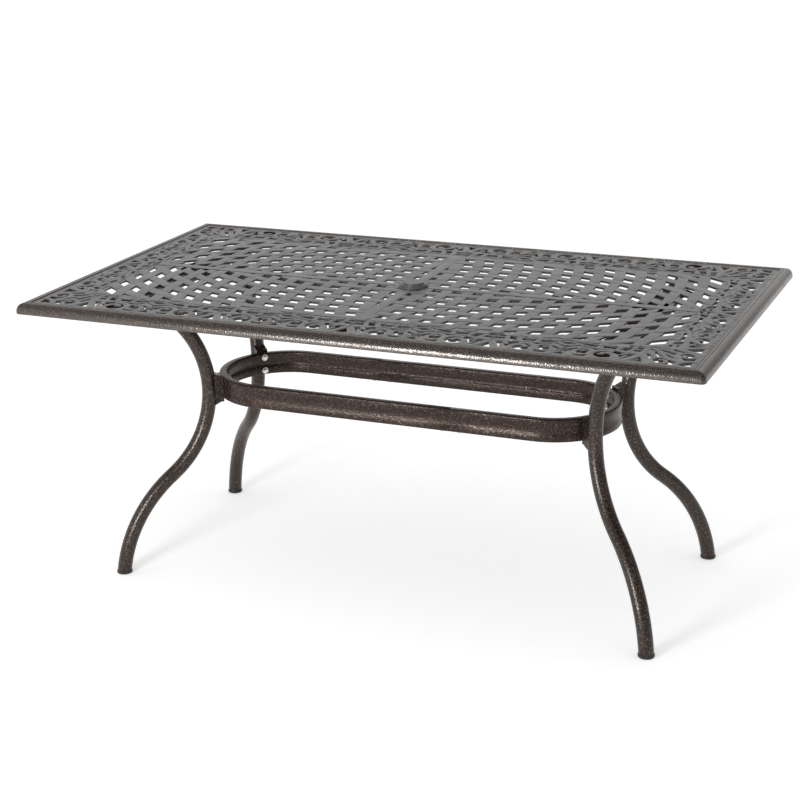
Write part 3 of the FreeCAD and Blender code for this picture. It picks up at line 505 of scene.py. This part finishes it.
def row_strip(number):
    """One row of a quarter, from the short spine out until it meets the long spine or the band."""
    low_start, high_start = row_edges(number)
    middle = (low_start + high_start) / 2
    begin, end = 0.0, ROW_REACH
    while row_place(low_start, begin) > band_long(begin) - BAND_LAP - 1 and begin < end:
        begin += SEARCH_STEP
    last = begin
    while row_place(high_start, last) > 6.0 and last < end:
        last += SEARCH_STEP
    if last - begin < SHORTEST_STRIP:
        return None
    touch = begin
    while row_place(low_start, touch) > STRIP / 2 and touch < last:
        touch += SEARCH_STEP
    crossings = [(0.0, STRIP / 2 + 0.5, False)]
    for column in range(1, COLUMNS + 1):
        left, right = (crossing(edge, middle)[0] for edge in column_edges(column))
        if right < touch - DIP_RUN:
            crossings.append((left - 0.5, right + 0.5, (number + column) % 2 == 0))
    crossings.append((touch, last + PAST_END, False))
    levels = dipping_levels(crossings, last)
    rings = []
    for x in [begin] + [stop for stop in stops_along(levels, last) if stop > begin + 1]:
        ceiling = band_long(x) - BAND_LAP
        low = min(max(row_place(low_start, x), 2.0), ceiling - 1)
        high = min(max(row_place(high_start, x), 4.0), ceiling)
        rings.append(flat_strip_ring(low, high, level_at(x, levels), lambda y: (x, y)))
    return rings


def column_strip(number):
    """One column of a quarter, from the long spine out to the band."""
    low_start, high_start = column_edges(number)
    middle = (low_start + high_start) / 2
    begin = 0.0
    end = band_long(middle) - BAND_LAP
    while column_place(low_start, begin) > band_short(begin) - BAND_LAP - 1 and begin < end:
        begin += SEARCH_STEP
    if end - begin < SHORTEST_STRIP:
        return None
    crossings = [(0.0, STRIP / 2 + 0.5, False)]
    for row in range(1, ROWS + 1):
        low, high = (crossing(middle, edge)[1] for edge in row_edges(row))
        if high < STRIP / 2 + 4 or low > end:
            continue
        crossings.append((low - 0.5, high + 0.5, (number + row) % 2 == 1))
    levels = dipping_levels(crossings, end)
    rings = []
    for y in [begin] + [stop for stop in stops_along(levels, end) if stop > begin + 1]:
        ceiling = band_short(y) - BAND_LAP
        low = min(max(column_place(low_start, y), STRIP / 2 - 2), ceiling - 1)
        high = min(max(column_place(high_start, y), STRIP / 2), ceiling)
        rings.append(flat_strip_ring(low, high, level_at(y, levels), lambda x: (x, y)))
    return rings


BOSS_RADIUS = 43.0
BOSS_TOP, BOSS_UNDER = 752.5, 747.6
BORE_RADIUS = 27.0
BOSS_SIDES = 64
SPINE_START = 30.0       # inside the boss
SPINE_LONG, SPINE_WIDE = FIELD_LONG + 8.0, FIELD_WIDE + 14.0      # where its arms end, within the band


def spine(length, along_x):
    """One arm of the cross, a plain strip from the boss out to the band."""
    stops = [SPINE_START + (length - SPINE_START) * n / 12 for n in range(13)]
    rings = []
    for run in stops:
        if along_x:
            rings.append(flat_strip_ring(-STRIP / 2, STRIP / 2, SPINE_TOP, lambda y: (run, y)))
        else:
            rings.append(flat_strip_ring(-STRIP / 2, STRIP / 2, SPINE_TOP, lambda x: (x, run)))
    return rings


def boss():
    """The round boss about the umbrella hole."""
    section = [(BORE_RADIUS, BOSS_UNDER), (BOSS_RADIUS - 1, BOSS_UNDER), (BOSS_RADIUS, BOSS_TOP - 1.0),
               (BOSS_RADIUS - 0.6, BOSS_TOP - 0.3), (BOSS_RADIUS - 2, BOSS_TOP), (BORE_RADIUS, BOSS_TOP)]
    rings = []
    for n in range(BOSS_SIDES):
        turn = 2 * math.pi * n / BOSS_SIDES
        rings.append([(r * math.cos(turn), r * math.sin(turn), z) for r, z in section])
    return rings


def woven_field():
    """The strips of one quarter, mirrored into the other three, with the spines and the boss."""
    quarter = Shell()
    for number in range(1, ROWS + 1):
        rings = row_strip(number)
        if rings:
            quarter.add_strip(rings)
    for number in range(1, COLUMNS + 1):
        rings = column_strip(number)
        if rings:
            quarter.add_strip(rings)
    whole = Shell()
    for along_x in (False, True):
        for along_y in (False, True):
            whole.join(quarter.mirrored(along_x, along_y))
    arms = Shell()
    arms.add_strip(spine(SPINE_LONG, True))
    arms.add_strip(spine(SPINE_WIDE, False))
    whole.join(arms)
    whole.join(arms.mirrored(True, True))
    whole.add_strip(boss(), closed=True)
    finish_piece("woven_field", whole, "cast_bronze", "lattice_top")


# scalloped band round the woven field, a plate with a ridge along its outer edge and a rib below it

BAND_TOP = 751.5
BAND_THICK = 4.0
BAND_END_X, BAND_END_Y = 690.0, 316.0      # where the scallops end and the round corner begins
BAND_TURN_X, BAND_TURN_Y = 697.0, 318.0    # middle of the round corner
BAND_REACH_X, BAND_REACH_Y = 38.0, 28.0    # and how far it reaches out
BAND_RIB = -7.2                            # the rib under the edge, from the top of the band
RIB_INSIDE = 10.0                          # the inner side of the rib, from the edge
# the edge and its ridge, as (distance from the outer edge, height over the band's top)
BAND_PROFILE = [(0.4, BAND_RIB), (0.0, -1.2), (0.5, 0.3), (1.4, 0.9), (3.6, 1.0), (5.4, 0.5), (7.4, 0.0)]


def band_outline():
    """Pairs of outer and inner points round the field."""
    pairs = []
    quarter = []
    steps = 116
    for n in range(steps + 1):
        x = BAND_END_X * n / steps
        quarter.append(((x, band_long(x)), (min(x, FIELD_LONG), FIELD_WIDE)))
    for n in range(1, 12):
        turn = math.pi / 2 * (1 - n / 12)
        outer = (BAND_TURN_X + BAND_REACH_X * math.cos(turn), BAND_TURN_Y + BAND_REACH_Y * math.sin(turn))
        quarter.append((outer, (FIELD_LONG, FIELD_WIDE)))
    steps = 54
    for n in range(steps + 1):
        y = BAND_END_Y * (1 - n / steps)
        quarter.append(((band_short(y), y), (FIELD_LONG, min(y, FIELD_WIDE))))
    for side_x, side_y, backwards in ((1, 1, False), (1, -1, True), (-1, -1, False), (-1, 1, True)):
        run = list(reversed(quarter)) if backwards else quarter
        for outer, inner in run[:-1]:
            pairs.append(((outer[0] * side_x, outer[1] * side_y), (inner[0] * side_x, inner[1] * side_y)))
    return pairs


def scalloped_band():
    """The band in one closed strip of rings, each from the outer edge in to the field's edge."""
    band = Shell()
    rings = []
    for outer, inner in band_outline():
        reach = math.dist(outer, inner)
        ring = []
        for inset, rise in BAND_PROFILE:
            share = inset / reach
            x = outer[0] + (inner[0] - outer[0]) * share
            y = outer[1] + (inner[1] - outer[1]) * share
            ring.append((x, y, BAND_TOP + rise))
        ring.append((*inner, BAND_TOP))
        ring.append((*inner, BAND_TOP - BAND_THICK))
        under = RIB_INSIDE / reach
        ring.append((outer[0] + (inner[0] - outer[0]) * under, outer[1] + (inner[1] - outer[1]) * under,
                     BAND_TOP + BAND_RIB))
        rings.append(ring)
    band.add_strip(rings, closed=True)
    finish_piece("scalloped_band", band, "cast_bronze", "lattice_top")


# scroll border: crowned ribbons between the band and the rim

BORDER_X, BORDER_Y = 812.0, 445.0          # half sizes over the border's outer edge
SCROLL_TOP = 752.3
LONG_STEP, SHORT_STEP = 172.0, 158.0       # length of half a cell along the long and short sides
LONG_DEPTH, SHORT_DEPTH = 113.0, 92.0      # and the depth of the border there
CURL_STEP = 18                             # degrees from one place of a scroll to the next


def smooth_path(points, step=5.0):
    """Evenly spaced places along a smooth curve through the given (u, v, width) points."""
    places = []
    for i in range(len(points) - 1):
        before = points[max(i - 1, 0)]
        here, there = points[i], points[i + 1]
        after = points[min(i + 2, len(points) - 1)]
        count = max(1, int(round(math.dist(here[:2], there[:2]) / step)))
        for n in range(count):
            t = n / count
            places.append(tuple(
                0.5 * (2 * here[k] + (there[k] - before[k]) * t
                       + (2 * before[k] - 5 * here[k] + 4 * there[k] - after[k]) * t * t
                       + (3 * here[k] - before[k] - 3 * there[k] + after[k]) * t ** 3)
                for k in range(3)))
    places.append(points[-1])
    return places


def curl(centre, start_turn, sweep, start_radius, hold, end_radius, width):
    """A scroll: round at its full radius for a share of the turn, then winding in to a bulb."""
    points = []
    steps = int(abs(sweep) / CURL_STEP)
    for n in range(steps + 1):
        share = n / steps
        turn = math.radians(start_turn + sweep * share)
        inward = max(0.0, (share - hold) / (1 - hold))
        radius = start_radius + (end_radius - start_radius) * inward ** 0.8
        wide = width * (1 - 0.25 * inward)
        points.append((centre[0] + radius * math.cos(turn), centre[1] + radius * math.sin(turn), wide))
    u, v, _ = points[-1]
    points[-1] = (u, v, width * 1.25)
    last = points[-2]
    reach = math.dist(last[:2], (u, v))
    points.append((u + (u - last[0]) / reach * 4, v + (v - last[1]) / reach * 4, width * 0.7))
    return points


# one list a ribbon, through places (along the side, in from the outer edge, width)
HALF_CELL = [
    curl((79, 32), 120, -450, 30, 0.6, 7, 17),
    curl((130, 42), 50, 420, 23.5, 0.62, 6, 15),
    [(0, 50, 16), (0, 70, 20), (0, 96, 17), (0, 118, 24)],
    [(31, -2, 26), (22, 14, 20), (15, 28, 18), (8, 44, 18), (1, 60, 17)],
    [(0, 60, 20), (14, 65, 24), (30, 66, 22), (46, 63, 16)],
    [(36, 64, 13), (30, 80, 12), (26, 98, 12), (28, 116, 13)],
    [(3, 90, 11), (26, 92, 11)],
    [(40, 64, 14), (60, 71, 14), (80, 75, 13), (100, 73, 13), (122, 78, 12), (142, 86, 12), (158, 96, 12),
     (172, 104, 14)],
    [(62, 74, 13), (57, 88, 14), (53, 106, 18)],
    [(99, 74, 14), (101, 90, 14), (101, 110, 18)],
    [(136, 76, 14), (152, 64, 16), (170, 50, 14)],
    [(172, 62, 12), (172, 48, 26), (172, 34, 22), (172, 22, 12)],
    [(172, 28, 13), (161, 17, 11), (150, 2, 18)],
    [(143, -2, 20), (151, 18, 13), (158, 34, 11)],
    [(105, -2, 26), (106, 14, 15), (104, 30, 11)],
    [(52, -2, 28), (44, 10, 17), (36, 24, 11), (30, 40, 9)],
    [(30, 62, 12), (36, 50, 12), (44, 40, 9)],
    [(146, 88, 12), (160, 78, 14), (172, 74, 16)],
    [(70, 106, 14), (84, 98, 14), (96, 106, 12)],
    [(122, 110, 14), (136, 100, 12), (150, 98, 10)],
]
CORNER_HALF = [
    [(41, -2, 19), (38, 15, 14), (30, 31, 19)],
    [(33, 33, 20), (54, 43, 16), (72, 60, 13), (88, 84, 14), (100, 104, 16)],
    curl((77, 28), 150, -420, 21.5, 0.62, 5.5, 13),
    [(92, -2, 31), (103, 14, 20), (108, 28, 18), (115, 44, 19), (124, 60, 18)],
    [(124, 56, 18), (124, 78, 17), (122, 100, 19)],
    [(94, 46, 16), (98, 60, 14), (108, 78, 16), (112, 96, 16)],
    [(62, 52, 12), (78, 50, 14), (96, 48, 14)],
    [(104, 74, 12), (124, 72, 12)],
]


# a ribbon's section, as (share of the half width, height over the crown)
RIBBON_PROFILE = [(-0.9, -6.4), (-1.0, -1.2), (-0.78, -0.3), (0.0, 0.0),
                  (0.78, -0.3), (1.0, -1.2), (0.9, -6.4)]


def ribbon_rings(places, put):
    """Rings of a crowned ribbon along places, put turning border places into the table's."""
    rings = []
    spots = [put(u, v) for u, v, _ in places]
    for i, (x, y) in enumerate(spots):
        ahead = spots[min(i + 1, len(spots) - 1)]
        behind = spots[max(i - 1, 0)]
        along_x, along_y = ahead[0] - behind[0], ahead[1] - behind[1]
        length = math.hypot(along_x, along_y) or 1.0
        side_x, side_y = -along_y / length, along_x / length
        half = places[i][2] / 2
        ring = []
        for share, rise in RIBBON_PROFILE:
            ring.append((x + side_x * half * share, y + side_y * half * share, SCROLL_TOP + rise))
        rings.append(ring)
    return rings


def scroll_border():
    """Half a cell, turned about along all four sides, and a fan in each corner."""
    border = Shell()
    half_cell = [smooth_path(path) for path in HALF_CELL]
    corner_half = [smooth_path(path) for path in CORNER_HALF]

    def add(paths, put):
        for places in paths:
            border.add_strip(ribbon_rings(places, put))

    for side in (-1, 1):
        for hand in (-1, 1):
            for n in range(4):
                base, way = (n, 1) if n % 2 == 0 else (n + 1, -1)
                add(half_cell, lambda u, v: (hand * (LONG_STEP * base + way * u), side * (BORDER_Y - v)))
            for n in range(2):
                base, way = (n, 1) if n % 2 == 0 else (n + 1, -1)
                add(half_cell, lambda u, v: (
                    side * (BORDER_X - v * SHORT_DEPTH / LONG_DEPTH),
                    hand * (SHORT_STEP * base + way * u * SHORT_STEP / LONG_STEP)))
            add(corner_half, lambda u, v: (side * (BORDER_X - u), hand * (BORDER_Y - v)))
            add(corner_half, lambda u, v: (side * (BORDER_X - v), hand * (BORDER_Y - u)))
    finish_piece("scroll_border", border, "cast_bronze", "lattice_top")


def casting_margin():
    """The plain frame of the casting, between the scrolls and the rim's rails."""
    margin = Shell()
    # (in from the border's outer edge, height over the scrolls)
    profile = [(-9.8, -7.0), (-9.8, -1.4), (-8.8, -0.6), (-7.0, -0.4), (5.4, -0.4), (6.6, -0.7), (7.0, -1.6),
               (6.8, -7.0)]
    rings = []
    for side_x, side_y in ((1, 1), (-1, 1), (-1, -1), (1, -1)):
        rings.append([(side_x * (BORDER_X - v), side_y * (BORDER_Y - v), SCROLL_TOP + rise)
                      for v, rise in profile])
    margin.add_strip(rings, closed=True)
    finish_piece("casting_margin", margin, "cast_bronze", "lattice_top")


# rails of the rim: a lip and a groove at the inner edge, a round shoulder and a plain upright face

RAIL_LONG, RAIL_WIDE = 850.0, 483.0        # half sizes over the rails
RAIL_INNER, RAIL_UNDER, RAIL_TOP = 28.0, 728.0, 754.0
RAIL_CORNER = 12.0       # radius of the rim's corners in plan
SHOULDER = 20.0          # radius of the round shoulder


def rail_profile():
    """Places (inset from the outer face, height) round the rail's section."""
    # the underside and the small round of its outer edge
    outline = [(RAIL_INNER, RAIL_UNDER), (1.8, RAIL_UNDER), (0.8, RAIL_UNDER + 0.4), (0.2, RAIL_UNDER + 1.4),
               (0.0, RAIL_UNDER + 2.8)]
    spring = RAIL_TOP - SHOULDER
    for n in range(10):
        turn = math.pi / 2 * n / 9
        outline.append((SHOULDER * (1 - math.cos(turn)), spring + SHOULDER * math.sin(turn)))
    # the groove and the lip, as (inward from the shoulder, drop below the top)
    for inset, drop in ((0.5, 0.3), (0.9, 1.1), (1.8, 1.1), (2.1, 0.3), (2.6, 0.0), (6.6, 0.0), (7.5, 0.3),
                        (8.0, 1.1)):
        outline.append((SHOULDER + inset, RAIL_TOP - drop))
    return outline


def rail_ring(side_x, side_y, turn):
    """The rail's section at a corner, turned from one side's direction to the other's."""
    ring = []
    for inset, z in rail_profile():
        radius = max(RAIL_CORNER - inset, 0.0)
        centre = max(RAIL_CORNER, inset)
        x = side_x * (RAIL_LONG - centre + radius * math.cos(turn))
        y = side_y * (RAIL_WIDE - centre + radius * math.sin(turn))
        ring.append((x, y, z))
    return ring


def rail(name, node, corners, along_x):
    """One rail between the middles of two corners, where it meets its neighbours in a mitre."""
    bar = Shell()
    flat = math.pi / 2 if along_x else 0.0
    steps = [math.pi / 4 + (flat - math.pi / 4) * n / 4 for n in range(5)]
    first, last = corners
    rings = [rail_ring(*first, turn) for turn in steps]
    rings += [rail_ring(*last, turn) for turn in reversed(steps)]
    bar.add_strip(rings)
    finish_piece(name, bar, "hammered_bronze", node, RIM_COAT, merged=True)


# stretcher ring: two alike halves of a bar with a shallow channel along both faces

RING_OUTER = 169.0                         # half the ring's width, and the radius of its round ends
RING_THICK, RING_HALF_HIGH = 20.0, 29.0    # the bar's thickness and half its height
RING_END_X = 367.0                         # middle of each round end
RING_MIDDLE = 470.5                        # height of the bar's middle over the floor
RING_SEAM = 158.0                          # the seams' distance from the table's middle
RING_EDGE = 4.0                            # radius of the bar's edges
SEAM_EDGE = 0.9                            # small bevel at each butt end
HOLLOW_DEEP, HOLLOW_HALF = 2.6, 9.0        # round channel along the bar's inner face
GROOVE_DEEP, GROOVE_HALF = 0.9, 10.0       # flat channel along the outer face, and its slopes
GROOVE_SLOPE = 2.0


def bar_edge(depth, rise, start):
    """A quarter round of the bar's section about a centre, from a start angle."""
    turns = [start - math.pi / 2 * n / 4 for n in range(5)]
    return [(depth + RING_EDGE * math.cos(turn), rise + RING_EDGE * math.sin(turn)) for turn in turns]


def ring_section():
    """Places (depth from the outer face, height from the middle) round the bar's section."""
    deep, high = RING_THICK - RING_EDGE, RING_HALF_HIGH - RING_EDGE
    outline = [(0.0, -GROOVE_HALF - GROOVE_SLOPE), (GROOVE_DEEP, -GROOVE_HALF),
               (GROOVE_DEEP, GROOVE_HALF), (0.0, GROOVE_HALF + GROOVE_SLOPE)]
    outline += bar_edge(RING_EDGE, high, math.pi)
    outline += bar_edge(deep, high, math.pi / 2)
    for n in range(-5, 6):
        hollow = HOLLOW_DEEP * math.cos(math.pi / 2 * n / 5) ** 0.8
        outline.append((RING_THICK - hollow, -HOLLOW_HALF * n / 5))
    outline += bar_edge(deep, -high, 0.0)
    outline += bar_edge(RING_EDGE, -high, -math.pi / 2)
    return outline


def ring_path():
    """Middle line of one half, as (x, direction outwards), from the front seam round to the back seam."""
    path = [(RING_SEAM + (RING_END_X - RING_SEAM) * n / 3, -math.pi / 2) for n in range(3)]
    path += [(RING_END_X, -math.pi / 2 + math.pi * n / 32) for n in range(33)]
    path += [(RING_END_X - (RING_END_X + RING_SEAM) * n / 5, math.pi / 2) for n in range(1, 6)]
    return path


def bar_ring(x, turn, shrink, side):
    """The bar's section at one place of its path, drawn in by a bevel's width where it ends."""
    ring = []
    for depth, rise in ring_section():
        inward = min(max(depth, shrink), RING_THICK - shrink)
        reach = RING_OUTER - inward
        high = max(min(rise, RING_HALF_HIGH - shrink), shrink - RING_HALF_HIGH)
        ring.append((side * (x + reach * math.cos(turn)), side * reach * math.sin(turn), RING_MIDDLE + high))
    return ring


def ring_half(name, node, side):
    """One half; the other one is the same, turned half round."""
    path = ring_path()
    first_x, first_turn = path[0]
    last_x, last_turn = path[-1]
    rings = [bar_ring(first_x, first_turn, SEAM_EDGE, side)]
    rings.append(bar_ring(first_x + SEAM_EDGE, first_turn, 0.0, side))
    rings += [bar_ring(x, turn, 0.0, side) for x, turn in path[1:-1]]
    rings.append(bar_ring(last_x + SEAM_EDGE, last_turn, 0.0, side))
    rings.append(bar_ring(last_x, last_turn, SEAM_EDGE, side))
    half = Shell()
    half.add_strip(rings)
    finish_piece(name, half, "hammered_bronze", node, BAR_COAT)


ring_half("right_ring_half", "ring_half_right", 1)
ring_half("left_ring_half", "ring_half_left", -1)
woven_field()
scalloped_band()
scroll_border()
casting_margin()
rail("front_rail", "rim_rail_front", ((-1, -1), (1, -1)), True)
rail("right_rail", "rim_rail_right", ((1, -1), (1, 1)), False)
rail("back_rail", "rim_rail_back", ((1, 1), (-1, 1)), True)
rail("left_rail", "rim_rail_left", ((-1, 1), (-1, -1)), False)


# floor, light and camera

FLOOR_GLOW = 0.39        # what the lit floor lacks of white


def floor_material():
    """Pale studio floor that shows white to the camera and in gloss where nothing shades it."""
    material, nodes, links = new_material("studio floor")
    shader = nodes["Principled BSDF"]
    shader.inputs["Base Color"].default_value = (0.93, 0.93, 0.93, 1.0)
    shader.inputs["Roughness"].default_value = 0.9
    shader.inputs["Specular IOR Level"].default_value = 0.0
    shader.inputs["Emission Color"].default_value = (1.0, 1.0, 1.0, 1.0)
    links.new(maths(material.node_tree, "MULTIPLY", background_rays(material.node_tree), FLOOR_GLOW),
              shader.inputs["Emission Strength"])
    return material


def background_rays(tree):
    """1 for rays from the camera, or ones that a gloss or a clear piece sends on, and 0 for others."""
    path = tree.nodes.new("ShaderNodeLightPath")
    seen = maths(tree, "MAXIMUM", path.outputs["Is Camera Ray"], path.outputs["Is Glossy Ray"])
    return maths(tree, "MAXIMUM", seen, path.outputs["Is Transmission Ray"])


def build_floor():
    """A wide plane just below the feet."""
    bpy.ops.mesh.primitive_plane_add(size=60.0, location=(0, 0, -0.0005))
    floor = bpy.context.object
    floor.name = "studio_floor"
    floor.data.materials.append(floor_material())


SOFT_LIGHT = (0.70, 0.70, 0.70)      # the world as dull surfaces see it


def build_world():
    """White, but greyer overhead and, in gloss, to the right; dull surfaces see one even tone."""
    world = bpy.data.worlds.new("studio")
    bpy.context.scene.world = world
    world.use_nodes = True
    tree = world.node_tree
    background = tree.nodes["Background"]
    direction = tree.nodes.new("ShaderNodeTexCoord").outputs["Generated"]
    split = tree.nodes.new("ShaderNodeSeparateXYZ")
    tree.links.new(direction, split.inputs["Vector"])
    overhead = ramp(tree, split.outputs["Z"], [(0.42, (1.0, 1.0, 1.0)), (0.80, (0.42, 0.42, 0.42))])
    beside = ramp(tree, split.outputs["X"], [(0.08, (1.0, 1.0, 1.0)), (0.30, (0.45, 0.45, 0.45))])
    seen = tree.nodes.new("ShaderNodeMixRGB")
    seen.blend_type = "MULTIPLY"
    path = tree.nodes.new("ShaderNodeLightPath")
    tree.links.new(path.outputs["Is Glossy Ray"], seen.inputs["Fac"])
    tree.links.new(overhead, seen.inputs["Color1"])
    tree.links.new(beside, seen.inputs["Color2"])
    choice = tree.nodes.new("ShaderNodeMixRGB")
    choice.inputs["Color1"].default_value = (*SOFT_LIGHT, 1.0)
    tree.links.new(background_rays(tree), choice.inputs["Fac"])
    tree.links.new(seen.outputs["Color"], choice.inputs["Color2"])
    tree.links.new(choice.outputs["Color"], background.inputs["Color"])


def soft_light(name, place, aim, size, power):
    """A soft box that the camera doesn't see."""
    lamp = bpy.data.lights.new(name, "AREA")
    lamp.shape = "RECTANGLE"
    lamp.size, lamp.size_y = size
    lamp.energy = power
    holder = bpy.data.objects.new(name, lamp)
    bpy.context.scene.collection.objects.link(holder)
    holder.location = place
    holder.rotation_euler = (Vector(aim) - Vector(place)).to_track_quat("-Z", "Y").to_euler()
    holder.visible_camera = False


def build_camera():
    """The photograph's viewpoint, to the front right of the table and a little above its top."""
    camera = bpy.data.cameras.new("camera")
    holder = bpy.data.objects.new("camera", camera)
    bpy.context.scene.collection.objects.link(holder)
    # the place and the angles, in radians, are fitted to the top's corners and the feet
    viewpoint = (1.6262, -3.9655, 1.8603)
    yaw, pitch, roll = -0.3981, 0.3171, -0.0171
    forward = Vector((math.sin(yaw) * math.cos(pitch), math.cos(yaw) * math.cos(pitch), -math.sin(pitch)))
    level = Vector((math.cos(yaw), -math.sin(yaw), 0.0))
    upright = level.cross(forward)
    right = math.cos(roll) * level + math.sin(roll) * upright
    up = math.cos(roll) * upright - math.sin(roll) * level
    turned = Matrix((right, up, -forward)).transposed()
    holder.matrix_world = Matrix.Translation(viewpoint) @ turned.to_4x4()
    camera.sensor_width = 36.0
    focal_pixels, frame_pixels = 1776.8, 800
    camera.lens = focal_pixels / frame_pixels * camera.sensor_width
    camera.clip_end = 100.0
    bpy.context.scene.camera = holder


build_floor()
build_world()
soft_light("front_left_box", place=(-1.0, -4.0, 1.05), aim=(0.0, -0.3, 0.6), size=(0.95, 0.75), power=98.0)
build_camera()
bpy.context.scene.view_settings.view_transform = "Standard"
